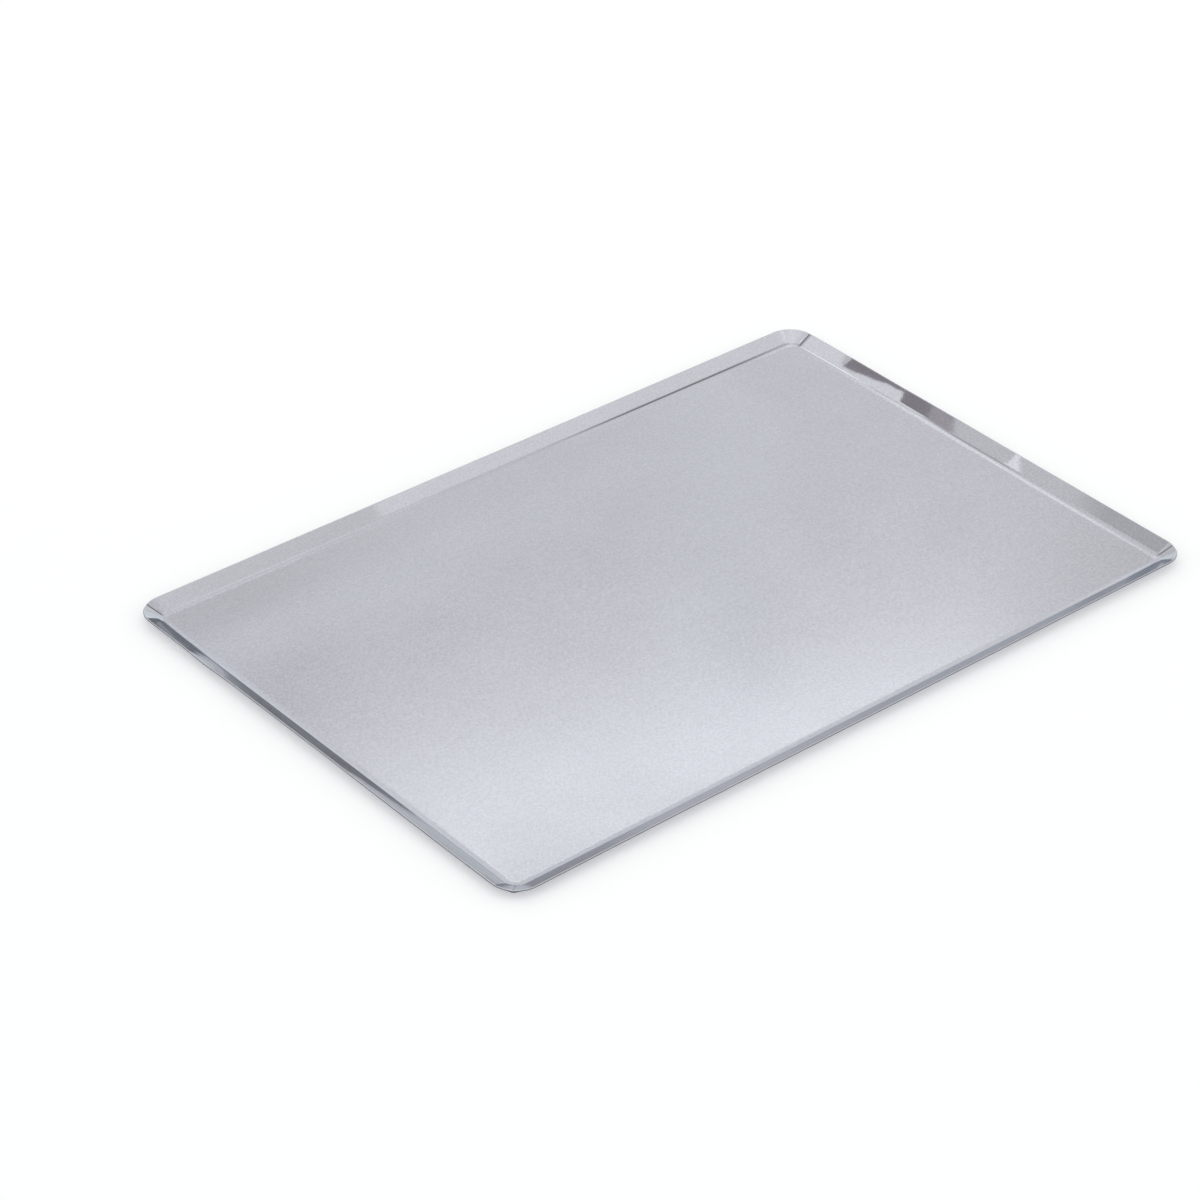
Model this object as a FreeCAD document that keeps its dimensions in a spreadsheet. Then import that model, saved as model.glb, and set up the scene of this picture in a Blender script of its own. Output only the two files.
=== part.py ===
import FreeCAD, Part
import math
import os
from enum import IntEnum, auto

import Sketcher
from FreeCAD import Vector

# Cookie sheet: one blank of sheet metal, pressed into a flat floor with a low flared lip all round.
# Millimetres. +Z is up, +X runs along the sheet, and the origin is the middle of the underside.
# Right and left are +X and -X, back and front are +Y and -Y.

NODE = "cookie_sheet"

# Driving dimensions: name, value, meaning
DIMENSIONS = [
    ("length", 600.0, "over the rims, along X"),
    ("width", 400.0, "over the rims, along Y"),
    ("height", 8.0, "from the underside to the top of the rim"),
    ("sheet_thickness", 1.0, "of the blank"),
    ("lip_angle", 29.0, "degrees by which the lip rises from the floor"),
    ("bend_radius", 11.0, "inside the bend between floor and lip"),
    ("floor_corner_radius", 4.0, "of the flat floor, in plan"),
    ("ridge_height", 1.2, "of a corner's pinch under the lip, at the rim"),
    ("crease_depth", 0.6, "of a corner's pinch in the top of the lip, at the rim"),
    ("crease_width", 0.4, "between the two walls of the crease"),
    ("crease_lead", 0.1, "by which the crease's outline starts above the lip and ends past the rim"),
    ("pinch_angle_right_back", 3.0, "degrees round the corner from the right side to its pinch"),
    ("pinch_angle_left_back", 30.0, "degrees round the corner from the back side to its pinch"),
    ("pinch_angle_left_front", 45.0, "degrees round the corner from the left side to its pinch"),
    ("pinch_angle_right_front", 72.0, "degrees round the corner from the front side to its pinch"),
]

# Sizes that follow from the driving ones
DERIVED = [
    ("bend_rise", "=bend_radius * (1 - cos(lip_angle * 1deg))", "of the top face, over the bend"),
    ("lip_run", "=(height - sheet_thickness - bend_rise) / sin(lip_angle * 1deg)",
     "of the straight lip, up its slope"),
    ("lip_reach",
     "=(bend_radius + sheet_thickness) * sin(lip_angle * 1deg) + lip_run * cos(lip_angle * 1deg)",
     "from the end of the flat floor to the rim, in plan"),
    ("rim_radius", "=floor_corner_radius + lip_reach", "of the rim's corners, in plan"),
    ("corner_x", "=length / 2 - rim_radius", "of the upright axis that a corner is round"),
    ("corner_y", "=width / 2 - rim_radius", "of the upright axis that a corner is round"),
    ("slope_foot", "=floor_corner_radius + bend_radius * sin(lip_angle * 1deg)",
     "from a corner's axis to where the straight lip starts"),
    ("fold_back", "=(bend_radius + sheet_thickness / 2) * tan(lip_angle / 2 * 1deg)",
     "from where the straight lip starts, down its slope to the fold"),
    ("ridge_end", "=lip_run - ridge_height * tan(lip_angle * 1deg)",
     "from where the straight lip starts, up its slope to where the ridge is level with the rim, in plan"),
]

# Corners: name, place of the upright axis, the direction in plan that its first side faces, in degrees,
# and the straight run of that side. The corner turns left from the side, and the side runs to the right.
CORNERS = [
    ("right_back", "dims.corner_x", "dims.corner_y", 0, "2 * dims.corner_y"),
    ("left_back", "-dims.corner_x", "dims.corner_y", 90, "2 * dims.corner_x"),
    ("left_front", "-dims.corner_x", "-dims.corner_y", 180, "2 * dims.corner_y"),
    ("right_front", "dims.corner_x", "-dims.corner_y", 270, "2 * dims.corner_x"),
]
QUARTER_TURN = 90
HALF_TURN = 180

# The origin of a sketch: the start of its first axis, by the sketcher's numbers
ORIGIN = (-1, 1)


class At(IntEnum):
    """The points of a sketch's element, in the sketcher's order."""

    START = auto()
    END = auto()
    CENTRE = auto()


def fill_sheet(sheet):
    """Put each dimension in a row of its own: meaning, value and alias."""
    for row, (name, value, meaning) in enumerate(DIMENSIONS + DERIVED, start=1):
        sheet.set(f"A{row}", meaning)
        sheet.set(f"B{row}", str(value))
        sheet.setAlias(f"B{row}", name)


def new_sketch(body, name, x=0, y=0, z=0, turn=0, tilt=0, roll=0):
    """Sketch on the body's ground plane, moved to x, y, z and then turned, tilted and rolled, in degrees."""
    sketch = body.newObject("Sketcher::SketchObject", name)
    ground = [plane for plane in body.Origin.OriginFeatures if plane.Role == "XY_Plane"][0]
    sketch.AttachmentSupport = (ground, "")
    sketch.MapMode = "FlatFace"
    sketch.setExpression("AttachmentOffset",
                         f"placement(vector({x}; {y}; {z}); rotation({turn}; {tilt}; {roll}))")
    return sketch


def relate(sketch, *constraint):
    """Add a constraint that has no size."""
    sketch.addConstraint(Sketcher.Constraint(*constraint))


def size(sketch, name, formula, *constraint):
    """Add a constraint with a named size, and tie it to the sheet."""
    index = sketch.addConstraint(Sketcher.Constraint(*constraint))
    sketch.renameConstraint(index, name)
    sketch.setExpression(f"Constraints.{name}", formula)


def add_floor(body, dims):
    """The flat floor: a rounded rectangle that ends where the bends start."""
    sketch = new_sketch(body, "floor_outline")
    quarter = math.pi / 2
    arcs = []
    for index, (sign_x, sign_y) in enumerate([(1, 1), (-1, 1), (-1, -1), (1, -1)]):
        centre = Vector(sign_x * dims.corner_x, sign_y * dims.corner_y)
        circle = Part.Circle(centre, Vector(0, 0, 1), dims.floor_corner_radius)
        arcs.append(sketch.addGeometry(Part.ArcOfCircle(circle, index * quarter, (index + 1) * quarter)))
    sides = []
    for arc, following in zip(arcs, arcs[1:] + arcs[:1]):
        line = Part.LineSegment(sketch.getPoint(arc, At.END), sketch.getPoint(following, At.START))
        side = sketch.addGeometry(line)
        relate(sketch, "Tangent", arc, At.END, side, At.START)
        relate(sketch, "Tangent", side, At.END, following, At.START)
        sides.append(side)
    back, left, front, right = sides
    for side in (back, front):
        relate(sketch, "Horizontal", side)
    for side in (left, right):
        relate(sketch, "Vertical", side)
    for arc in arcs[1:]:
        relate(sketch, "Equal", arcs[0], arc)
    right_back, left_back, left_front, right_front = arcs
    relate(sketch, "Symmetric", right_back, At.CENTRE, left_front, At.CENTRE, *ORIGIN)
    size(sketch, "corner", "dims.floor_corner_radius", "Radius", right_back, dims.floor_corner_radius)
    size(sketch, "between_centres_x", "2 * dims.corner_x",
         "DistanceX", left_back, At.CENTRE, right_back, At.CENTRE, 2 * dims.corner_x)
    size(sketch, "between_centres_y", "2 * dims.corner_y",
         "DistanceY", right_front, At.CENTRE, right_back, At.CENTRE, 2 * dims.corner_y)

    floor = body.newObject("PartDesign::Pad", "floor")
    floor.Profile = sketch
    floor.setExpression("Length", "dims.sheet_thickness")


def draw_lip_section(body, dims, name, x, y, facing):
    """Bend and lip, cut through a corner's upright axis: X of the sketch points outwards and Y up."""
    sketch = new_sketch(body, name, x=x, y=y, turn=facing, roll=QUARTER_TURN)
    slope = math.radians(dims.lip_angle)
    up_lip = Vector(math.cos(slope), math.sin(slope))
    off_lip = Vector(math.sin(slope), -math.cos(slope))
    outer_radius = dims.bend_radius + dims.sheet_thickness
    bend_centre = Vector(dims.floor_corner_radius, outer_radius)
    under_floor = Vector(dims.floor_corner_radius, 0)
    on_floor = Vector(dims.floor_corner_radius, dims.sheet_thickness)
    inner_foot = bend_centre + off_lip * dims.bend_radius
    outer_foot = bend_centre + off_lip * outer_radius
    inner_rim = inner_foot + up_lip * dims.lip_run
    outer_rim = outer_foot + up_lip * dims.lip_run
    straight_down = -math.pi / 2
    inner_circle = Part.Circle(bend_centre, Vector(0, 0, 1), dims.bend_radius)
    outer_circle = Part.Circle(bend_centre, Vector(0, 0, 1), outer_radius)

    joint = sketch.addGeometry(Part.LineSegment(under_floor, on_floor))
    inner_bend = sketch.addGeometry(Part.ArcOfCircle(inner_circle, straight_down, straight_down + slope))
    inner_lip = sketch.addGeometry(Part.LineSegment(inner_foot, inner_rim))
    cut_edge = sketch.addGeometry(Part.LineSegment(inner_rim, outer_rim))
    outer_lip = sketch.addGeometry(Part.LineSegment(outer_rim, outer_foot))
    outer_bend = sketch.addGeometry(Part.ArcOfCircle(outer_circle, straight_down, straight_down + slope))

    relate(sketch, "Coincident", joint, At.END, inner_bend, At.START)
    relate(sketch, "Tangent", inner_bend, At.END, inner_lip, At.START)
    relate(sketch, "Coincident", inner_lip, At.END, cut_edge, At.START)
    relate(sketch, "Coincident", cut_edge, At.END, outer_lip, At.START)
    relate(sketch, "Tangent", outer_lip, At.END, outer_bend, At.END)
    relate(sketch, "Coincident", outer_bend, At.START, joint, At.START)
    relate(sketch, "Coincident", inner_bend, At.CENTRE, outer_bend, At.CENTRE)
    relate(sketch, "PointOnObject", inner_bend, At.CENTRE, joint)
    relate(sketch, "Vertical", joint)
    relate(sketch, "Horizontal", *ORIGIN, joint, At.START)
    relate(sketch, "Perpendicular", inner_lip, cut_edge)
    relate(sketch, "Parallel", inner_lip, outer_lip)
    size(sketch, "floor_end", "dims.floor_corner_radius",
         "DistanceX", *ORIGIN, joint, At.START, dims.floor_corner_radius)
    size(sketch, "thickness", "dims.sheet_thickness",
         "DistanceY", joint, At.START, joint, At.END, dims.sheet_thickness)
    size(sketch, "bend", "dims.bend_radius", "Radius", inner_bend, dims.bend_radius)
    size(sketch, "slope", "dims.lip_angle * 1deg", "Angle", inner_lip, slope)
    size(sketch, "rim", "dims.height", "DistanceY", *ORIGIN, inner_lip, At.END, dims.height)
    return sketch


def add_lip(body, dims, corner, x, y, facing, run):
    """The straight lip of a corner's first side, and the corner itself, turned about its upright axis."""
    section = draw_lip_section(body, dims, f"lip_section_{corner}", x, y, facing)

    side = body.newObject("PartDesign::Pad", f"side_lip_{corner}")
    side.Profile = section
    side.setExpression("Length", run)

    round_corner = body.newObject("PartDesign::Revolution", f"corner_lip_{corner}")
    round_corner.Profile = section
    round_corner.ReferenceAxis = (section, ["V_Axis"])
    round_corner.Angle = QUARTER_TURN


def draw_triangle(sketch, tip, heel, toe):
    """Right-angled triangle: one leg along X from tip to heel, the other down to the toe."""
    along = sketch.addGeometry(Part.LineSegment(tip, heel))
    down = sketch.addGeometry(Part.LineSegment(heel, toe))
    slant = sketch.addGeometry(Part.LineSegment(toe, tip))
    relate(sketch, "Coincident", along, At.END, down, At.START)
    relate(sketch, "Coincident", down, At.END, slant, At.START)
    relate(sketch, "Coincident", slant, At.END, along, At.START)
    relate(sketch, "Horizontal", along)
    relate(sketch, "Vertical", down)
    return along, down


def add_ridge(body, dims, corner, foot):
    """Underside of a pinch: half a cone about the middle of the sheet, from the fold to the rim."""
    sketch = new_sketch(body, f"ridge_outline_{corner}", **foot)
    middle = dims.sheet_thickness / 2
    radius = middle + dims.ridge_height
    axis, base = draw_triangle(sketch, Vector(-dims.fold_back, -middle), Vector(dims.ridge_end, -middle),
                               Vector(dims.ridge_end, -middle - radius))
    size(sketch, "fold", "dims.fold_back", "DistanceX", axis, At.START, *ORIGIN, dims.fold_back)
    size(sketch, "middle", "dims.sheet_thickness / 2", "DistanceY", axis, At.START, *ORIGIN, middle)
    size(sketch, "end", "dims.ridge_end", "DistanceX", *ORIGIN, axis, At.END, dims.ridge_end)
    size(sketch, "radius", "dims.sheet_thickness / 2 + dims.ridge_height",
         "DistanceY", base, At.END, base, At.START, radius)

    ridge = body.newObject("PartDesign::Revolution", f"ridge_{corner}")
    ridge.Profile = sketch
    ridge.ReferenceAxis = (sketch, ["Edge1"])
    ridge.Angle = HALF_TURN
    ridge.Midplane = True


def add_crease(body, dims, corner, foot):
    """Top of a pinch: a narrow wedge, deepest at the rim, where it runs out through the cut edge."""
    sketch = new_sketch(body, f"crease_outline_{corner}", **foot)
    lead = dims.crease_lead
    end = dims.lip_run + lead
    top, base = draw_triangle(sketch, Vector(0, lead), Vector(end, lead), Vector(end, -dims.crease_depth))
    relate(sketch, "Vertical", *ORIGIN, top, At.START)
    size(sketch, "lead", "dims.crease_lead", "DistanceY", *ORIGIN, top, At.START, lead)
    size(sketch, "end", "dims.lip_run + dims.crease_lead", "DistanceX", *ORIGIN, top, At.END, end)
    size(sketch, "depth", "dims.crease_depth", "DistanceY", base, At.END, *ORIGIN, dims.crease_depth)

    crease = body.newObject("PartDesign::Pocket", f"crease_{corner}")
    crease.Profile = sketch
    crease.setExpression("Length", "dims.crease_width")
    crease.Midplane = True


def lip_foot(corner, x, y, facing):
    """Place of a pinch's sketches: X up the lip's slope from the end of the bend, Y square out of its top."""
    heading = f"({facing} + dims.pinch_angle_{corner})"
    return {
        "x": f"{x} + dims.slope_foot * cos({heading} * 1deg)",
        "y": f"{y} + dims.slope_foot * sin({heading} * 1deg)",
        "z": "dims.sheet_thickness + dims.bend_rise",
        "turn": heading,
        "tilt": "-dims.lip_angle",
        "roll": QUARTER_TURN,
    }


def check(doc, body):
    """Stop before anything is written if a feature failed, cut nothing, or left a bad solid."""
    for item in doc.Objects:
        if "Invalid" in item.State or "Error" in item.State:
            raise RuntimeError(f"{item.Name} failed: {item.State}")
        if item.isDerivedFrom("PartDesign::Pocket") and item.Shape.Volume >= item.BaseFeature.Shape.Volume:
            raise RuntimeError(f"{item.Name} cuts nothing")
    shape = body.Shape
    if shape.isNull() or not shape.isValid() or len(shape.Solids) != 1:
        raise RuntimeError(f"{body.Label} isn't one valid solid")


doc = FreeCAD.newDocument("cookie_sheet_model")
dims = doc.addObject("Spreadsheet::Sheet", "dims")
fill_sheet(dims)
doc.recompute()

body = doc.addObject("PartDesign::Body", "pressing")
body.Label = NODE
add_floor(body, dims)
for corner, x, y, facing, run in CORNERS:
    add_lip(body, dims, corner, x, y, facing, run)
doc.recompute()
for corner, x, y, facing, run in CORNERS:
    foot = lip_foot(corner, x, y, facing)
    add_ridge(body, dims, corner, foot)
    add_crease(body, dims, corner, foot)
doc.recompute()

check(doc, body)
os.makedirs("parts", exist_ok=True)
body.Shape.exportStep(f"parts/{body.Label}.step")
box = body.Shape.BoundBox
print(f"{body.Label}: {box.XLength:.3f} x {box.YLength:.3f} x {box.ZLength:.3f} mm, "
      f"{body.Shape.Volume:.1f} mm3, {len(body.Shape.Faces)} faces")
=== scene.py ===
import math

import bmesh
import bpy
import numpy as np
from mathutils import Matrix, Vector


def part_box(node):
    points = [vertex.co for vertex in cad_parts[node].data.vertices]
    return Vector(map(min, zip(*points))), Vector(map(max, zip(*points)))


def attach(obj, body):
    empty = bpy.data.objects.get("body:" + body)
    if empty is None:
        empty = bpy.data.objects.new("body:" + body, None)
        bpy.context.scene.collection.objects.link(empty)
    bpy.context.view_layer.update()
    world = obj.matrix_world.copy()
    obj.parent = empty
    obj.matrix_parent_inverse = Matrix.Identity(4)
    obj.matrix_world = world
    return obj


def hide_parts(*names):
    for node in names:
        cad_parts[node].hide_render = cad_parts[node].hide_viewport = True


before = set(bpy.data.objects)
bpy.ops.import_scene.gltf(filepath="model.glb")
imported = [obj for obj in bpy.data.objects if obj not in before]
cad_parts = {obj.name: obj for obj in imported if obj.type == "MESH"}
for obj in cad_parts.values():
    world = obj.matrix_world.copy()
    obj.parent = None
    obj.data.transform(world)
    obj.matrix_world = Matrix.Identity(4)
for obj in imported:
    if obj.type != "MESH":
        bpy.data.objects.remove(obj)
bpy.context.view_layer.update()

# Cookie sheet
# One blank of steel sheet, pressed in one stroke into a flat satin floor with a low flared lip.
# The metal that each round corner has to spare is pinched into a crease above and a ridge below.
THICKNESS = 0.001
LIP_ANGLE = math.radians(29)
BEND_RADIUS = 0.011
BEND_LENGTH = 0.0073
BEND_EASE = 1.25
BEND_SAMPLES = 400
FLOOR_CORNER_RADIUS = 0.004
CUT_ROUNDING = 0.0005
CUT_SQUARENESS = 0.95

sheet_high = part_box("cookie_sheet")[1]
half_length = sheet_high.x
half_width = sheet_high.y
bend_rise = BEND_RADIUS * (1 - math.cos(LIP_ANGLE))
straight_lip = (sheet_high.z - THICKNESS - bend_rise) / math.sin(LIP_ANGLE)
rim_radius = (FLOOR_CORNER_RADIUS + (BEND_RADIUS + THICKNESS) * math.sin(LIP_ANGLE)
              + straight_lip * math.cos(LIP_ANGLE))
axis_x = half_length - rim_radius
axis_y = half_width - rim_radius
long_side = 2 * axis_x
short_side = 2 * axis_y

# The real bend eases in from the floor: its slope grows as a power of the distance along the middle of the
# sheet, and its run out and rise are the running sums of the slope's cosine and sine.
bend_steps = np.linspace(0, 1, BEND_SAMPLES + 1)
bend_slopes = LIP_ANGLE * ((bend_steps[1:] + bend_steps[:-1]) / 2) ** BEND_EASE
bend_out = np.concatenate([[0], np.cumsum(np.cos(bend_slopes))]) * BEND_LENGTH / BEND_SAMPLES
bend_up = np.concatenate([[0], np.cumsum(np.sin(bend_slopes))]) * BEND_LENGTH / BEND_SAMPLES
rim_rise = (BEND_RADIUS + THICKNESS / 2) * (1 - math.cos(LIP_ANGLE)) + straight_lip * math.sin(LIP_ANGLE)
lip_run = (rim_rise - bend_up[-1]) / math.sin(LIP_ANGLE)
bend_start = rim_radius - THICKNESS / 2 * math.sin(LIP_ANGLE) - lip_run * math.cos(LIP_ANGLE) - bend_out[-1]
bend_end = bend_start + BEND_LENGTH
rim = bend_end + lip_run

# Corners in the order of a walk to the left round the sheet, with the angle of each pinch from the side
# before and how dark the painted shade in its crease is. The press leaves that side's lip waved: tilt and
# curl in degrees at shares of its length.
CORNERS = [
    {"axis": (axis_x, axis_y), "faces": 0, "pinch": 3, "painted_shade": 1.0,
     "waves": [(0, -1.2, 0), (0.37, -1.2, 0), (0.4, -0.9, 0), (0.43, -1.3, 0), (0.5, -1.0, 0),
               (0.58, -0.3, 0.2), (0.685, -0.35, 0.3), (0.714, -0.95, 0.95), (0.727, -1.75, 1.8),
               (0.75, -1.65, 1.8), (0.8, -1.35, 1.6), (0.85, -0.97, 1.6), (0.878, -0.9, 1.6),
               (0.9, -1.1, 0.6), (1, -1.2, 0)]},
    {"axis": (-axis_x, axis_y), "faces": 90, "pinch": 30, "painted_shade": 1.0,
     "waves": [(0, -0.3, 0), (0.64, -0.2, 0), (0.7, -0.4, 0), (1, -0.3, 0)]},
    {"axis": (-axis_x, -axis_y), "faces": 180, "pinch": 45, "painted_shade": 0.25,
     "waves": [(0, -0.3, 0), (0.55, -0.3, 0), (0.62, -0.9, -2.9), (0.7, -2.2, -2.2), (0.79, -3.8, -1.0),
               (0.83, -4.8, 0.6), (0.87, -5.0, 1.5), (1, -4.8, 1.3)]},
    {"axis": (axis_x, -axis_y), "faces": 270, "pinch": 72, "painted_shade": 0.9,
     "waves": [(0, -3.2, 0), (0.1, -1.6, 0), (0.2, -0.6, 0), (1, -0.3, 0)]},
]
# Steps of the grid along the sides and round the corners, the first one off a pinch in degrees
LONG_STEPS = 160
SHORT_STEPS = 140
CROWDING = 0.6
FIRST_CORNER_STEP = 0.19
CORNER_GROWTH = 1.5
LEAST_CORNER_STEPS = 5


def side_shares(steps):
    """Shares of a side's length from 0 to 1: even steps, less a sine that crowds them towards both ends."""
    even = np.linspace(0, 1, steps + 1)
    return even - CROWDING * np.sin(2 * np.pi * even) / (2 * np.pi)


def corner_angles(pinch):
    """Degrees round a corner from 0 to 90: steps that grow as a 1.5th power both ways from the pinch."""
    halves = []
    for span in (-pinch, 90 - pinch):
        steps = max(LEAST_CORNER_STEPS, round((abs(span) / FIRST_CORNER_STEP) ** (1 / CORNER_GROWTH)))
        halves.append(pinch + span * np.linspace(0, 1, steps + 1) ** CORNER_GROWTH)
    return np.concatenate([halves[0][::-1], halves[1][1:]])


def walk_round():
    """The walk round the sheet: for each station the point that its section stands on, its heading, the
    straight distance walked so far, and the lip's tilt and curl. The points run along the sides of the
    sharp rectangle through the four corner axes, and stay on an axis while the heading turns round that
    corner. The waves run straight from knot to knot along a side, and over a corner to the next side."""
    points, headings, walked, waves, pinches = [], [], [], [], []
    distance = 0.0
    before = np.array(CORNERS[-1]["axis"])
    for corner, after in zip(CORNERS, CORNERS[1:] + CORNERS[:1]):
        axis = np.array(corner["axis"])
        length = np.linalg.norm(axis - before)
        shares = side_shares(LONG_STEPS if length > short_side else SHORT_STEPS)[:-1]
        points.append(before + shares[:, None] * (axis - before))
        headings.append(np.full(len(shares), np.radians(corner["faces"])))
        walked.append(distance + shares * length)
        knots = np.array(corner["waves"])
        waves.append(np.stack([np.interp(shares, knots[:, 0], knots[:, k]) for k in (1, 2)], axis=1))
        distance += length
        turned = corner_angles(corner["pinch"])[:-1]
        points.append(np.tile(axis, (len(turned), 1)))
        headings.append(np.radians(corner["faces"] + turned))
        walked.append(np.full(len(turned), distance))
        last, first = knots[-1, 1:], np.array(after["waves"][0][1:])
        waves.append(last + (turned / 90)[:, None] * (first - last))
        pinches.append((distance, math.radians(corner["faces"] + corner["pinch"]), corner["painted_shade"]))
        before = axis
    return {"points": np.concatenate(points), "headings": np.concatenate(headings),
            "walked": np.concatenate(walked), "waves": np.radians(np.concatenate(waves)),
            "round_trip": distance, "pinches": pinches}


# Rows of the grid across the sheet: shares of the flat and of the lip, and counts over the bends and the cut
FLAT_ROWS = np.array([0, 0.5, 0.92])
TOP_BEND_ROWS = 15
TOP_LIP_ROWS = np.array([0.04, 0.2, 0.35, 0.5, 0.65, 0.8, 0.94, 0.99, 1])
CUT_ROWS = 13
UNDER_LIP_ROWS = np.array([1, 0.97, 0.8, 0.55, 0.3, 0.06])
UNDER_BEND_ROWS = 8


def across_sheet():
    """The section from the floor over the rim and back underneath, as distance along the middle of the
    sheet and height over that middle. The cut edge is a superellipse, nearly square, with broken corners."""
    end = rim - CUT_ROUNDING
    flat = FLAT_ROWS * bend_start
    top_bend = np.linspace(bend_start, bend_end, TOP_BEND_ROWS)
    top_lip = bend_end + (end - bend_end) * TOP_LIP_ROWS
    top = np.concatenate([flat, top_bend, top_lip])
    under_bend = np.linspace(bend_end, bend_start, UNDER_BEND_ROWS)
    under_lip = bend_end + (end - bend_end) * UNDER_LIP_ROWS
    under = np.concatenate([under_lip, under_bend, flat[::-1]])
    turn = np.radians(np.linspace(90, -90, CUT_ROWS))[1:-1]
    cut = end + CUT_ROUNDING * np.abs(np.cos(turn)) ** CUT_SQUARENESS
    cut_height = np.sign(np.sin(turn)) * np.abs(np.sin(turn)) ** CUT_SQUARENESS
    along = np.concatenate([top, cut, under])
    height = np.concatenate([np.ones(len(top)), cut_height, -np.ones(len(under))]) * THICKNESS / 2
    return along, height


# Pinches: the crease falls off as an exponential to either side, the ridge as a bell, and both grow to
# the rim. The bottom of the crease gets a dark line of painted shade.
CREASE_DEPTH = 0.00055
CREASE_WIDTH = 0.0004
CREASE_GROWTH = 0.5
RIDGE_HEIGHT = 0.0012
RIDGE_WIDTH = 0.003
# Painted shade in the bottom of each crease: its width, and how fast it grows to full darkness
CREASE_SHADE_WIDTH = 0.0006
CREASE_SHADE_GROWTH = 4
PINCH_START = bend_start + 0.5 * BEND_LENGTH


def pinched(radius, along, height, walk):
    """How far the pinches lower each point, and its share of painted shade in a crease: along the walk at
    the section's own radius, the distance to a pinch is the straight way plus the radius times the turn,
    taken the short way round. The painted shade is a bell on the top of the sheet."""
    growth = np.clip((along - PINCH_START) / (rim - PINCH_START), 0, 1)
    under = 0.5 - height / THICKNESS
    lowered = np.zeros((len(walk["headings"]), len(along)))
    painted_shade = np.zeros_like(lowered)
    trip = walk["round_trip"] + 2 * np.pi * radius
    for straight, heading, darkness in walk["pinches"]:
        way = (walk["walked"] - straight)[:, None] + radius * (walk["headings"] - heading)[:, None]
        way = (way + trip / 2) % trip - trip / 2
        crease = CREASE_DEPTH * growth ** CREASE_GROWTH * np.exp(-np.abs(way) / CREASE_WIDTH)
        ridge = RIDGE_HEIGHT * growth * np.exp(-(way / RIDGE_WIDTH) ** 2)
        lowered += (1 - under) * crease + under * ridge
        # Painted shade: a dark line painted along the bottom of the crease
        grown = np.minimum(CREASE_SHADE_GROWTH * growth, 1)
        painted_shade += darkness * (height > 0) * grown * np.exp(-(way / CREASE_SHADE_WIDTH) ** 2)
    return lowered, painted_shade


# Painted shade: dark lines painted along the folds in place of the bends' dark reflections: the distance
# walked to the middle of each, half its length, and its darkness
FOLD_SHADE_LINES = [(0.49 * short_side, 0.1 * short_side, 0.45),
              (short_side + 0.19 * long_side, 0.17 * long_side, 0.95)]
FOLD_SHADE_PLACE = bend_end - 0.0016
FOLD_SHADE_WIDTH = 0.00068


def painted_fold_shade(along, height, walk):
    """Each point's share of the painted fold shade: a flat-topped bell along the fold times a bell across
    it.
    """
    across = (height > 0) * np.exp(-((along - FOLD_SHADE_PLACE) / FOLD_SHADE_WIDTH) ** 2)
    share = np.zeros((len(walk["walked"]), len(along)))
    for middle, reach, darkness in FOLD_SHADE_LINES:
        share += darkness * np.exp(-((walk["walked"] - middle) / reach) ** 4)[:, None] * across
    return share


# Ripples all round the lip: waves in one walk, tilt in degrees and phase
RIPPLES = [(23, 0.05, 0.4), (37, 0.05, 2.1), (61, 0.04, 4.4), (97, 0.03, 1.3)]
# Dings in the lip: the distance walked to the middle of each, half its length, and its depth
DINGS = [(short_side + long_side + 0.175 * short_side, 0.017, 0.0009)]
DING_GROWTH = 1.6


def waved(run, walk):
    """How far the waves raise each point of the lip: the tilt times the run, half the curl times the
    share of the lip times the run, and less each ding, a 1.6th power that grows to the rim and a
    bell along it. The ripples are sines of the distance walked."""
    share = run / lip_run
    tilt, curl = walk["waves"].T
    turns = 2 * np.pi * walk["walked"] / walk["round_trip"]
    for count, size, phase in RIPPLES:
        tilt = tilt + np.radians(size) * np.sin(count * turns + phase)
    raised = tilt[:, None] * run + curl[:, None] * run * share / 2
    for middle, reach, depth in DINGS:
        bell = np.exp(-((walk["walked"] - middle) / reach) ** 2)
        raised -= depth * bell[:, None] * share ** DING_GROWTH
    return raised


# Marks on the points: the cut edge, whose colour is painted shade, starts at a share of its rounding and
# under a share of the thickness, the underside under another, and the painted highlight of the rim is a bell
# across it
MARKS = ("cut_edge", "painted_rim_highlight", "underside", "painted_shade")
CUT_OUT = 0.3
CUT_HEIGHT = 0.2
UNDER_HEIGHT = -0.3
RIM_HIGHLIGHT_WIDTH = 0.0004
MEAN_RIM_HIGHLIGHT = 0.6
LEAST_RIM_HIGHLIGHT = 0.15


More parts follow.
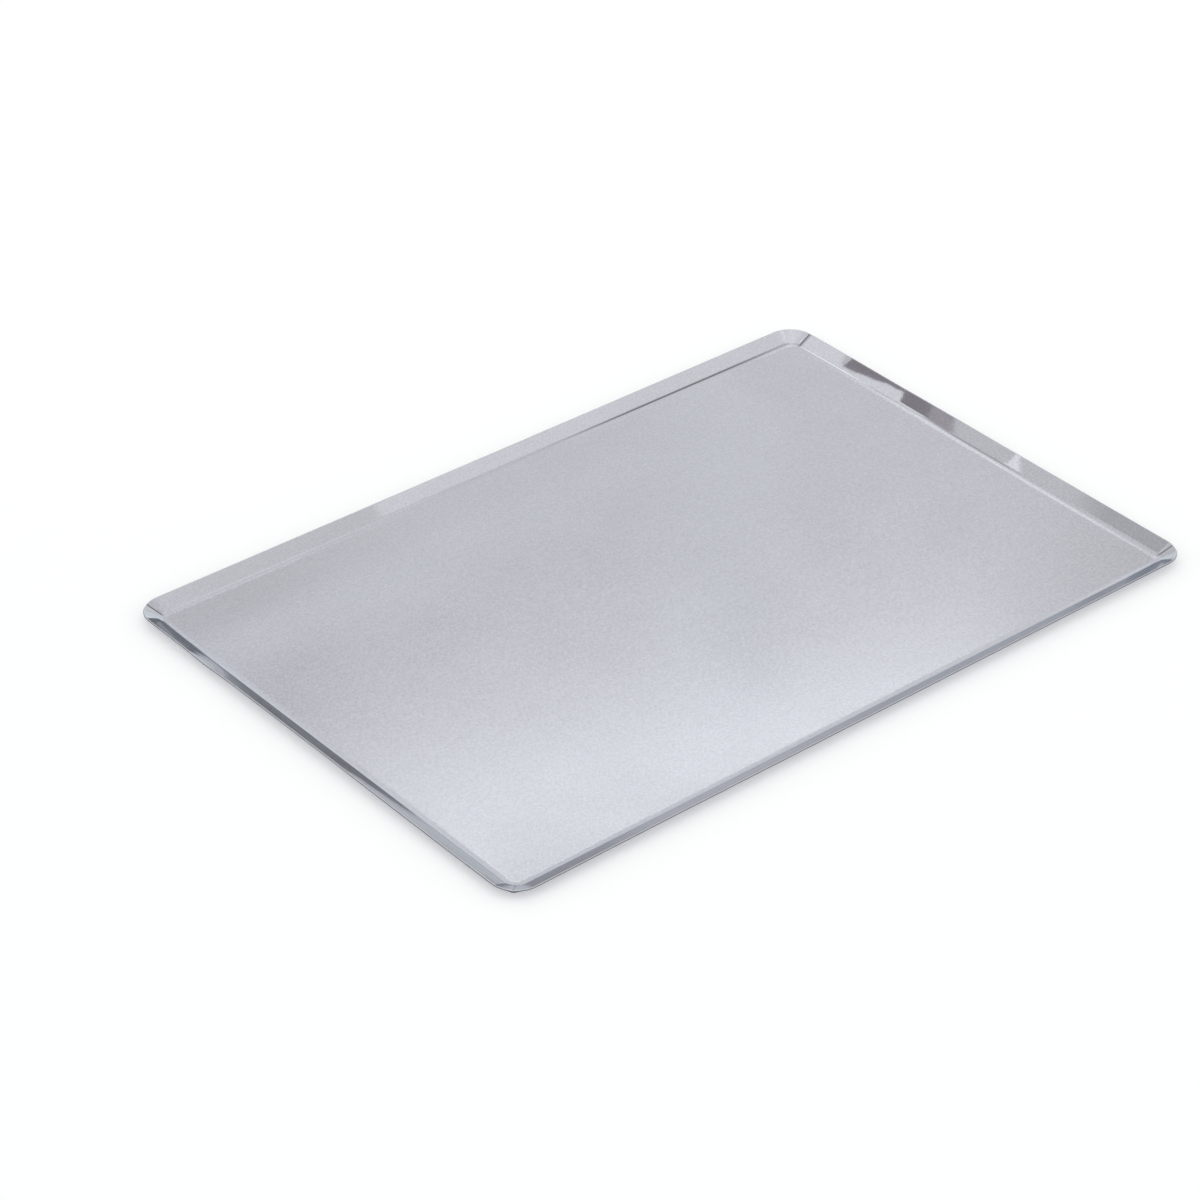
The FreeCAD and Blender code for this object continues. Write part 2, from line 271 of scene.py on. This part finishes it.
def lip_ring():
    """The ring of bends, lips and corners as a grid: the section carried round the walk. The section is
    the middle of the sheet, flat, bent and then straight to the rim, and half the thickness at right
    angles to it. With it go the marks of each point: its share of the cut edge, whose colour is painted
    shade, of the painted rim highlight, of the underside and of the painted shade in the creases and
    along the folds. The rim highlight is painted strongest on the sides that face the near left corner."""
    walk = walk_round()
    along, height = across_sheet()
    bent = np.clip((along - bend_start) / BEND_LENGTH, 0, 1)
    slope = LIP_ANGLE * bent ** BEND_EASE
    run = np.clip(along - bend_end, 0, lip_run)
    radius = (np.minimum(along, bend_start) + np.interp(bent, bend_steps, bend_out)
              + run * math.cos(LIP_ANGLE) - height * np.sin(slope))
    level = (THICKNESS / 2 + np.interp(bent, bend_steps, bend_up)
             + run * math.sin(LIP_ANGLE) + height * np.cos(slope))
    x = walk["points"][:, :1] + np.cos(walk["headings"])[:, None] * radius
    y = walk["points"][:, 1:] + np.sin(walk["headings"])[:, None] * radius
    lowered, painted_shade = pinched(radius, along, height, walk)
    z = level + waved(run, walk) - lowered
    # Painted shade: the lower part of the cut edge is marked for a near-black painted colour
    out = (along - rim + CUT_ROUNDING) / CUT_ROUNDING
    cut = (out > CUT_OUT) & (height < CUT_HEIGHT * THICKNESS)
    # Painted highlight: a bright band on the rim, strongest where the rim faces the near left corner
    nearness = -(np.cos(walk["headings"]) + np.sin(walk["headings"])) / math.sqrt(2)
    highlight_strength = np.clip(MEAN_RIM_HIGHLIGHT * (1 + nearness), LEAST_RIM_HIGHLIGHT, 1)[:, None]
    rim_highlight = highlight_strength * np.exp(-((along - rim + CUT_ROUNDING) / RIM_HIGHLIGHT_WIDTH) ** 2) * (height > 0)
    under = height < UNDER_HEIGHT * THICKNESS
    # The painted shade along the folds joins the painted shade in the creases
    painted_shade = np.minimum(painted_shade + painted_fold_shade(along, height, walk), 1)
    marks = np.stack(np.broadcast_arrays(cut, rim_highlight, under, painted_shade)).astype(np.float32)
    return np.stack([x, y, z], axis=-1), marks


def floor_grid(level):
    """The flat of the floor inside the corner axes, as a grid on the same steps as the sides."""
    x = axis_x * (2 * side_shares(LONG_STEPS) - 1)
    y = axis_y * (2 * side_shares(SHORT_STEPS) - 1)
    return np.stack(np.broadcast_arrays(x[:, None], y[None, :], level), axis=-1)


def grid_faces(rows, columns, first, closed=False):
    """Four-sided faces of a grid of numbered points, closed over the last row onto the first if asked."""
    index = first + np.arange(rows * columns).reshape(rows, columns)
    if closed:
        index = np.vstack([index, index[:1]])
    corners = [index[:-1, :-1], index[1:, :-1], index[1:, 1:], index[:-1, 1:]]
    return np.stack(corners, axis=-1).reshape(-1, 4)


WELD_DISTANCE = 1e-6


def build_sheet():
    """The welded mesh of the whole sheet: the ring, the top of the floor and its underside."""
    ring, ring_marks = lip_ring()
    patches = [ring, floor_grid(THICKNESS), floor_grid(0.0)]
    counts = [patch.shape[0] * patch.shape[1] for patch in patches]
    faces, first = [], 0
    for patch, count in zip(patches, counts):
        faces.append(grid_faces(*patch.shape[:2], first, closed=patch is ring))
        first += count
    marks = np.zeros((len(MARKS), first), np.float32)
    marks[:, :counts[0]] = ring_marks.reshape(len(MARKS), -1)
    marks[MARKS.index("underside"), counts[0] + counts[1]:] = 1

    mesh = bpy.data.meshes.new("cookie_sheet_pressing")
    mesh.from_pydata(np.concatenate([patch.reshape(-1, 3) for patch in patches]), [], np.concatenate(faces))
    for name, values in zip(MARKS, marks):
        mesh.attributes.new(name, "FLOAT", "POINT").data.foreach_set("value", np.ascontiguousarray(values))
    welded = bmesh.new()
    welded.from_mesh(mesh)
    bmesh.ops.remove_doubles(welded, verts=welded.verts, dist=WELD_DISTANCE)
    bmesh.ops.recalc_face_normals(welded, faces=welded.faces)
    welded.to_mesh(mesh)
    welded.free()
    mesh.shade_smooth()
    return mesh


STEEL = (0.604, 0.606, 0.658)
# Painted shade: the near-black colour painted on the lower part of the cut edge
SHADED_CUT_STEEL = (0.09, 0.095, 0.105)
# Painted highlight: the bright colour painted on the rim band
RIM_HIGHLIGHT_STEEL = (0.72, 0.73, 0.76)
# Painted shade: the dark colour painted in the bottoms of the creases and along the folds
PAINTED_SHADE_STEEL = (0.1, 0.1, 0.11)
FLOOR_ROUGHNESS = 0.2
BEND_ROUGHNESS = 0.27
LIP_ROUGHNESS = 0.035
RIM_BAND_ROUGHNESS = 0.45
SHEARED_ROUGHNESS = 0.45
UNDERSIDE_ROUGHNESS = 0.3
# Sizes of the noises, how long the ones that follow a direction are drawn, and the ranges read from them
GRAIN_SIZE = 0.0015
CLOUD_SIZE = 0.06
STREAK_SIZE = 0.0012
STREAK_STRETCH = 60
SLIDE_SIZE = 0.0007
SLIDE_STRETCH = 120
TEAR_SIZE = 0.0004
TEAR_STRETCH = 8
NOISE_RANGE = (0.25, 0.75)
SLIDE_RANGE = (0.35, 0.65)
TEAR_RANGE = (0.3, 0.7)
LEAST_TEAR = 0.75
# How far they swing the colour and the roughness, and their heights against the grain's in the relief
GRAIN_SHADE = 0.09
CLOUD_SHADE = 0.018
STREAK_SHADE = 0.014
CLOUD_ROUGHNESS = 0.02
GRAIN_ROUGHNESS = 0.01
LIP_SWING = 0.012
SLIDE_DULL = 0.08
SLIDE_SHINE = 0.06
STREAK_RELIEF = 0.3
TEAR_RELIEF = 8.0
RELIEF_STRENGTH = 0.1
RELIEF_HEIGHT = 0.00002
# Where the bend's roughness and the lip's begin and are full, as shares of the bend's rise
BEND_ZONE = (0.02, 0.25)
LIP_ZONE = (0.3, 0.75)


def steel_material():
    """Rolled steel sheet. Its colour is the steel's, times a fine satin grain, faint streaks along the
    rolling direction and broad clouds. The bend is roughened where it was stretched, the lip that the die
    burnished is smoother than the floor, the underside is rougher with slide marks, the cut edge is torn
    with its lower part painted dark as shade, the rim has a painted bright highlight, and the crease
    bottoms at the corners and the lines along the folds have painted shade."""
    material = bpy.data.materials.new("sheet_steel")
    material.use_nodes = True
    nodes, links = material.node_tree.nodes, material.node_tree.links
    shader = nodes["Principled BSDF"]
    shader.inputs["Metallic"].default_value = 1.0
    place = nodes.new("ShaderNodeTexCoord").outputs["Object"]

    def noise(size, stretch=(1, 1, 1), detail=2):
        """A noise with details of about this size, longer along an axis whose stretch is above 1."""
        mapping = nodes.new("ShaderNodeMapping")
        mapping.inputs["Scale"].default_value = [1 / (size * s) for s in stretch]
        links.new(place, mapping.inputs["Vector"])
        texture = nodes.new("ShaderNodeTexNoise")
        texture.inputs["Scale"].default_value = 1.0
        texture.inputs["Detail"].default_value = detail
        links.new(mapping.outputs["Vector"], texture.inputs["Vector"])
        return texture.outputs["Fac"]

    def ranged(value, span, low, high, smooth=False):
        """A value taken from this span to the one from low to high, and held at the ends of it."""
        node = nodes.new("ShaderNodeMapRange")
        node.interpolation_type = "SMOOTHSTEP" if smooth else "LINEAR"
        for name, number in zip(("From Min", "From Max", "To Min", "To Max"), (*span, low, high)):
            node.inputs[name].default_value = number
        links.new(value, node.inputs["Value"])
        return node.outputs["Result"]

    def swung(value, size, middle=0.0):
        """A noise taken to a range that reaches this far to either side of its middle."""
        return ranged(value, NOISE_RANGE, middle - size, middle + size)

    def worked(operation, first, second):
        """Two values added or multiplied, of which the second may be a number."""
        node = nodes.new("ShaderNodeMath")
        node.operation = operation
        links.new(first, node.inputs[0])
        if isinstance(second, (int, float)):
            node.inputs[1].default_value = second
        else:
            links.new(second, node.inputs[1])
        return node.outputs[0]

    def mixed(kind, share, first, second):
        """First to second by this share; each is a socket or a fixed value."""
        node = nodes.new("ShaderNodeMix")
        node.data_type = kind
        slots = {"FLOAT": ("Factor_Float", "A_Float", "B_Float", "Result_Float"),
                 "RGBA": ("Factor_Float", "A_Color", "B_Color", "Result_Color")}[kind]
        inputs = {socket.identifier: socket for socket in node.inputs}
        outputs = {socket.identifier: socket for socket in node.outputs}
        links.new(share, inputs[slots[0]])
        for slot, value in zip(slots[1:3], (first, second)):
            if isinstance(value, bpy.types.NodeSocket):
                links.new(value, inputs[slot])
            else:
                inputs[slot].default_value = (*value, 1) if kind == "RGBA" else value
        return outputs[slots[3]]

    def mark(name):
        """One of the mesh's own marks."""
        node = nodes.new("ShaderNodeAttribute")
        node.attribute_name = name
        return node.outputs["Fac"]

    split = nodes.new("ShaderNodeSeparateXYZ")
    links.new(place, split.inputs[0])
    lip_heights = [THICKNESS + share * bend_rise for share in LIP_ZONE]
    lip = ranged(split.outputs["Z"], lip_heights, 0, 1, smooth=True)
    bend_heights = [THICKNESS + share * bend_rise for share in BEND_ZONE]
    bend = ranged(split.outputs["Z"], bend_heights, 0, 1)
    cut, rim_highlight, under, painted_shade = [mark(name) for name in MARKS]
    grain = noise(GRAIN_SIZE)
    cloud = noise(CLOUD_SIZE, detail=3)
    streak = noise(STREAK_SIZE, stretch=(STREAK_STRETCH, 1, 1))
    slide = noise(SLIDE_SIZE, stretch=(SLIDE_STRETCH, 1, 1))
    tear = noise(TEAR_SIZE, stretch=(1, 1, TEAR_STRETCH))

    shade = worked("ADD", swung(grain, GRAIN_SHADE), swung(cloud, CLOUD_SHADE))
    shade = worked("ADD", shade, swung(streak, STREAK_SHADE))
    shade = worked("ADD", shade, 1.0)
    tone = nodes.new("ShaderNodeVectorMath")
    tone.operation = "SCALE"
    tone.inputs[0].default_value = STEEL
    links.new(shade, tone.inputs["Scale"])
    # Painted highlight on the rim
    colour = mixed("RGBA", rim_highlight, tone.outputs["Vector"], RIM_HIGHLIGHT_STEEL)
    # Painted shade on the lower part of the cut edge, varied by the tear noise
    cut_shade = worked("MULTIPLY", cut, ranged(tear, TEAR_RANGE, LEAST_TEAR, 1.0))
    colour = mixed("RGBA", cut_shade, colour, SHADED_CUT_STEEL)
    # Painted shade in the creases and along the folds
    colour = mixed("RGBA", painted_shade, colour, PAINTED_SHADE_STEEL)
    links.new(colour, shader.inputs["Base Color"])

    satin = worked("ADD", swung(cloud, CLOUD_ROUGHNESS), swung(grain, GRAIN_ROUGHNESS))
    satin = worked("ADD", satin, FLOOR_ROUGHNESS)
    scuffed = ranged(slide, SLIDE_RANGE,
                     UNDERSIDE_ROUGHNESS + SLIDE_DULL, UNDERSIDE_ROUGHNESS - SLIDE_SHINE)
    burnished = swung(cloud, LIP_SWING, LIP_ROUGHNESS)
    roughness = mixed("FLOAT", bend, satin, BEND_ROUGHNESS)
    roughness = mixed("FLOAT", lip, roughness, burnished)
    roughness = mixed("FLOAT", rim_highlight, roughness, RIM_BAND_ROUGHNESS)
    roughness = mixed("FLOAT", under, roughness, scuffed)
    roughness = mixed("FLOAT", cut, roughness, SHEARED_ROUGHNESS)
    links.new(roughness, shader.inputs["Roughness"])

    relief = worked("ADD", grain, worked("MULTIPLY", streak, STREAK_RELIEF))
    relief = worked("ADD", relief, worked("MULTIPLY", worked("MULTIPLY", tear, cut), TEAR_RELIEF))
    bump = nodes.new("ShaderNodeBump")
    bump.inputs["Strength"].default_value = RELIEF_STRENGTH
    bump.inputs["Distance"].default_value = RELIEF_HEIGHT
    links.new(relief, bump.inputs["Height"])
    links.new(bump.outputs["Normal"], shader.inputs["Normal"])
    return material


sheet = bpy.data.objects.new("cookie_sheet_pressing", build_sheet())
bpy.context.scene.collection.objects.link(sheet)
sheet.data.materials.append(steel_material())
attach(sheet, "root")
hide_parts("cookie_sheet")

# Studio floor
# A plain white board under the sheet. It glows a little where the camera or a mirror sees it, so that it
# comes out white and keeps the sheet's shadow.
FLOOR_SIZE = 30.0
FLOOR_WHITE = (0.92, 0.92, 0.92)
FLOOR_GLOW = 0.175
FLOOR_DROP = 0.0001

ground_mesh = bpy.data.meshes.new("studio_floor")
half = FLOOR_SIZE / 2
ground_mesh.from_pydata([(-half, -half, 0), (half, -half, 0), (half, half, 0), (-half, half, 0)], [],
                        [(0, 1, 2, 3)])
ground_mesh.transform(Matrix.Translation((0, 0, -FLOOR_DROP)))
ground = bpy.data.objects.new("studio_floor", ground_mesh)
bpy.context.scene.collection.objects.link(ground)
paint = bpy.data.materials.new("studio_white")
paint.use_nodes = True
nodes, links = paint.node_tree.nodes, paint.node_tree.links
shader = nodes["Principled BSDF"]
shader.inputs["Base Color"].default_value = (*FLOOR_WHITE, 1)
shader.inputs["Roughness"].default_value = 1.0
shader.inputs["Specular IOR Level"].default_value = 0.0
shader.inputs["Emission Color"].default_value = (1, 1, 1, 1)
path = nodes.new("ShaderNodeLightPath")
seen = path.outputs["Is Camera Ray"]
for kind in ("Is Glossy Ray", "Is Transmission Ray"):
    either = nodes.new("ShaderNodeMath")
    either.operation = "MAXIMUM"
    links.new(seen, either.inputs[0])
    links.new(path.outputs[kind], either.inputs[1])
    seen = either.outputs[0]
glow = nodes.new("ShaderNodeMath")
glow.operation = "MULTIPLY"
glow.inputs[1].default_value = FLOOR_GLOW
links.new(seen, glow.inputs[0])
links.new(glow.outputs[0], shader.inputs["Emission Strength"])
ground.data.materials.append(paint)

# Studio light
# A pale dome, a strip light and soft panels behind the sheet. Flags and cards, which only mirrors see, stand
# where the burnished lips and the folds mirror them. The dome's colours are at sines of elevation.
DOME = [(0.0, (0.6, 0.645, 0.655)), (0.1, (0.69, 0.742, 0.754)), (0.15, (0.8, 0.86, 0.873)),
        (0.22, (0.865, 0.93, 0.944)), (0.3, (0.856, 0.92, 0.934)), (0.36, (0.805, 0.83, 0.837)),
        (0.45, (0.75, 0.75, 0.75)), (0.65, (0.72, 0.72, 0.72)), (0.85, (0.79, 0.79, 0.79)),
        (1.0, (1.05, 1.05, 1.05))]
FAR_TURN = math.radians(48)
NEAR_GAIN = 0.3
NEAR_FULL = -0.6

world = bpy.data.worlds.new("studio")
bpy.context.scene.world = world
world.use_nodes = True
nodes, links = world.node_tree.nodes, world.node_tree.links
direction = nodes.new("ShaderNodeTexCoord")
split = nodes.new("ShaderNodeSeparateXYZ")
links.new(direction.outputs["Generated"], split.inputs[0])
ramp = nodes.new("ShaderNodeValToRGB")
while len(ramp.color_ramp.elements) < len(DOME):
    ramp.color_ramp.elements.new(0.5)
for element, (height, colour) in zip(ramp.color_ramp.elements, DOME):
    element.position = height
    element.color = (*colour, 1)
links.new(split.outputs["Z"], ramp.inputs["Fac"])
links.new(ramp.outputs["Color"], nodes["Background"].inputs["Color"])
facing = nodes.new("ShaderNodeVectorMath")
facing.operation = "DOT_PRODUCT"
facing.inputs[1].default_value = (math.cos(FAR_TURN), math.sin(FAR_TURN), 0)
links.new(direction.outputs["Generated"], facing.inputs[0])
gain = nodes.new("ShaderNodeMapRange")
gain.interpolation_type = "SMOOTHSTEP"
gain.inputs["From Min"].default_value = 0.0
gain.inputs["From Max"].default_value = NEAR_FULL
gain.inputs["To Min"].default_value = 1.0
gain.inputs["To Max"].default_value = 1.0 + NEAR_GAIN
links.new(facing.outputs["Value"], gain.inputs["Value"])
links.new(gain.outputs["Result"], nodes["Background"].inputs["Strength"])


def hang_panel(name, place, aim, size, level, colour=(1, 1, 1)):
    """A soft panel that adds this level to what a mirror at its aim shows: a lamp's power is the level
    times pi times its area."""
    lamp = bpy.data.lights.new(name, "AREA")
    lamp.shape = "RECTANGLE"
    lamp.size, lamp.size_y = size
    lamp.color = colour
    lamp.energy = level * math.pi * size[0] * size[1]
    panel = bpy.data.objects.new(name, lamp)
    panel.location = place
    panel.rotation_euler = (Vector(aim) - Vector(place)).to_track_quat("-Z", "Y").to_euler()
    panel.visible_camera = False
    bpy.context.scene.collection.objects.link(panel)


def set_flag(name, corners, tone, mirrors=1, fade=None):
    """A flat card of one even tone between these four points, which is seen only by way of at least this
    many mirrors: where the light path's glossy depth is less, the card is clear. A card with a fade goes
    from clear to its tone between two heights."""
    mesh = bpy.data.meshes.new(name)
    mesh.from_pydata(corners, [], [(0, 1, 2, 3)])
    flag = bpy.data.objects.new(name, mesh)
    bpy.context.scene.collection.objects.link(flag)
    felt = bpy.data.materials.new(name)
    felt.use_nodes = True
    nodes, links = felt.node_tree.nodes, felt.node_tree.links
    shader = nodes["Principled BSDF"]
    shader.inputs["Base Color"].default_value = (0, 0, 0, 1)
    shader.inputs["Specular IOR Level"].default_value = 0.0
    shader.inputs["Emission Color"].default_value = (*tone, 1)
    shader.inputs["Emission Strength"].default_value = 1.0
    enough = nodes.new("ShaderNodeMath")
    enough.operation = "GREATER_THAN"
    enough.inputs[1].default_value = mirrors - 0.5
    links.new(nodes.new("ShaderNodeLightPath").outputs["Glossy Depth"], enough.inputs[0])
    share = enough.outputs[0]
    if fade:
        place = nodes.new("ShaderNodeSeparateXYZ")
        links.new(nodes.new("ShaderNodeTexCoord").outputs["Object"], place.inputs[0])
        soft = nodes.new("ShaderNodeMapRange")
        soft.inputs["From Min"].default_value, soft.inputs["From Max"].default_value = fade
        links.new(place.outputs["Z"], soft.inputs["Value"])
        links.new(share, soft.inputs["To Max"])
        share = soft.outputs["Result"]
    chosen = nodes.new("ShaderNodeMixShader")
    links.new(share, chosen.inputs["Fac"])
    links.new(nodes.new("ShaderNodeBsdfTransparent").outputs["BSDF"], chosen.inputs[1])
    links.new(shader.outputs["BSDF"], chosen.inputs[2])
    links.new(chosen.outputs["Shader"], nodes["Material Output"].inputs["Surface"])
    mesh.materials.append(felt)
    flag.visible_camera = False
    flag.visible_diffuse = False
    flag.visible_shadow = False


def level_card(x_low, x_high, y_low, y_high, z):
    """The corners of a level card."""
    return [(x_low, y_low, z), (x_high, y_low, z), (x_high, y_high, z), (x_low, y_high, z)]


def upright_card(left, right, low, high):
    """The corners of an upright card between two places on the floor, from one height to another."""
    return [(*left, low), (*right, low), (*right, high), (*left, high)]


# The strip light, and panels behind and over the sheet
hang_panel("strip_light", (0.792, 0.853, 1.041), (0.738, 0.688, 0.056), (0.82, 0.13), 1.12,
           (0.91, 1.0, 0.97))
hang_panel("back_panel", (1.20, 1.25, 1.0), (0, 0, 0), (0.92, 0.75), 0.105)
hang_panel("right_panel", (1.12, -0.06, 1.5), (1.12, -0.06, 0), (0.66, 0.36), 0.16)
hang_panel("left_reflector", (0.25, 1.035, 1.2), (0.25, 1.035, 0), (0.2, 0.25), 0.22)
hang_panel("left_spark", (0.17, 0.782, 1.19), (0.17, 0.782, 0), (0.12, 0.022), 0.35)
hang_panel("fold_panel", (0.55, 0.44, 1.25), (0.55, 0.44, 0), (0.36, 0.16), 0.2)
# Flags that the lips at the back and at the right end mirror
set_flag("left_flag", level_card(0.0, 0.152, 0.915, 1.052, 1.19), (0.335, 0.312, 0.325))
set_flag("left_flag_edge", level_card(0.0, 0.3, 0.875, 0.915, 1.19), (0.5, 0.475, 0.49))
set_flag("near_flag", upright_card((0.21, 0.27), (0.255, 0.27), 0.55, 0.75), (0.6, 0.6, 0.6),
         fade=(0.55, 0.61))
# Cards far behind, that the near lips mirror by way of the floor
set_flag("far_card", upright_card((3.63, 4.00), (4.13, 3.48), 0, 0.9), (0.02, 0.024, 0.025), mirrors=2)
set_flag("far_band", upright_card((4.02, 4.18), (4.67, 3.37), 0.5, 2.1), (0.95, 1.0, 1.02))
set_flag("far_side_card", upright_card((2.70, 4.45), (3.62, 4.01), 0, 1.2), (0.52, 0.55, 0.565), mirrors=2)
set_flag("far_end_card", upright_card((2.16, 4.75), (2.70, 4.45), 0, 1.6), (0.3, 0.32, 0.34), mirrors=2)
# Cards that the folds and the near corners mirror
set_flag("back_fold_card", upright_card((-0.24, 0.25), (0.25, 0.25), 0.085, 0.13), (0.857, 0.87, 0.875))
set_flag("end_fold_card", upright_card((0.35, 0.25), (0.35, 0.42), 0.12, 0.42), (0.872, 0.885, 0.89))
set_flag("left_corner_card", upright_card((-0.275, 0.203), (-0.207, 0.203), 0.008, 0.025),
         (0.3, 0.33, 0.34), mirrors=2)
set_flag("left_corner_top", upright_card((-0.275, 0.203), (-0.207, 0.203), 0.025, 0.045),
         (0.55, 0.56, 0.56), mirrors=2)
set_flag("right_corner_card", upright_card((0.304, -0.185), (0.304, -0.12), 0.008, 0.03),
         (0.42, 0.46, 0.5), mirrors=2)

# Camera
# A long lens from the front left corner, at the height and turn of the photograph.
CAMERA_PLACE = (-1.4885, -1.6411, 1.4944)
CAMERA_TURN = math.radians(-41.03)
CAMERA_HEIGHT = math.radians(34.179)
CAMERA_ROLL = math.radians(1.157)
CAMERA_SENSOR = 36.0
CAMERA_LENS = 118.5
camera_data = bpy.data.cameras.new("camera")
camera_data.sensor_width = CAMERA_SENSOR
camera_data.lens = CAMERA_LENS
camera = bpy.data.objects.new("camera", camera_data)
camera.matrix_world = (Matrix.Translation(CAMERA_PLACE) @ Matrix.Rotation(CAMERA_TURN, 4, "Z")
                       @ Matrix.Rotation(math.pi / 2 - CAMERA_HEIGHT, 4, "X")
                       @ Matrix.Rotation(CAMERA_ROLL, 4, "Z"))
bpy.context.scene.collection.objects.link(camera)
bpy.context.scene.camera = camera
bpy.context.scene.view_settings.view_transform = "Standard"
